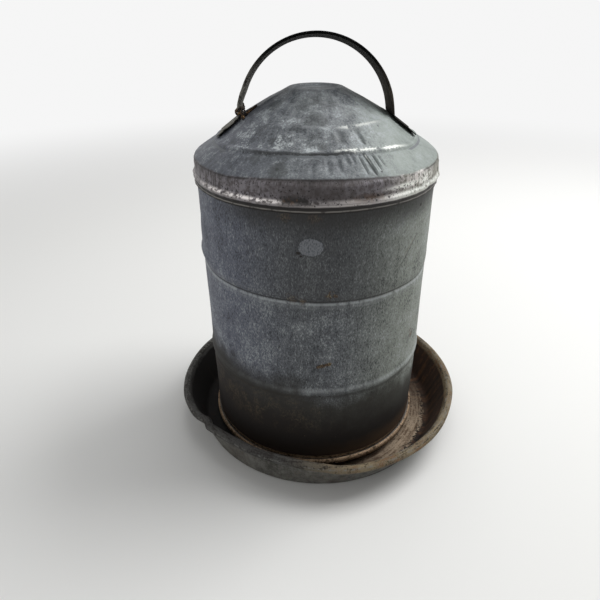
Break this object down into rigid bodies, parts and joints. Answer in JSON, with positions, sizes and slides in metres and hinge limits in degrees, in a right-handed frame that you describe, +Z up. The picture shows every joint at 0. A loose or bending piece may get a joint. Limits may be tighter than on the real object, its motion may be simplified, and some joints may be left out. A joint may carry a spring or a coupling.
{
  "type": "poultry waterer",
  "caption": "Standing galvanised poultry waterer: cone-topped round jacket with a strap handle over an inner tank in a shallow wired-rim pan.",
  "frame": {"origin": "centre of the pan's flat underside, on the surface it stands on", "axes": "+Z up along the drinker's axis, -Y towards the front, X along the handle's arch"},
  "size_m": [0.2692, 0.2692, 0.3463],
  "materials": {
    "jacket_zinc": "weathered galvanised sheet with faint spangle and stains",
    "pan_zinc": "dull galvanised sheet, dirty and rust-stained",
    "tank_zinc": "dull galvanised sheet",
    "handle_steel": "dark tarnished galvanised strap",
    "tie_wire": "rusty soft wire",
    "rim_wire": "plain drawn wire",
    "rivet_steel": "dull flat-headed rivet"
  },
  "bodies": {
    "root": {"pan": "pan_zinc", "pan_rim_wire": "rim_wire", "jacket_wall": "jacket_zinc", "jacket_hem_wire": "rim_wire", "jacket_cone": "jacket_zinc", "handle_strap": "handle_steel", "handle_rivets": "rivet_steel", "handle_tie_wire": "tie_wire", "tank_wall": "tank_zinc", "tank_rim_wire": "rim_wire", "tank_bottom": "tank_zinc", "jacket_rests": "tank_zinc"}
  },
  "joints": []
}
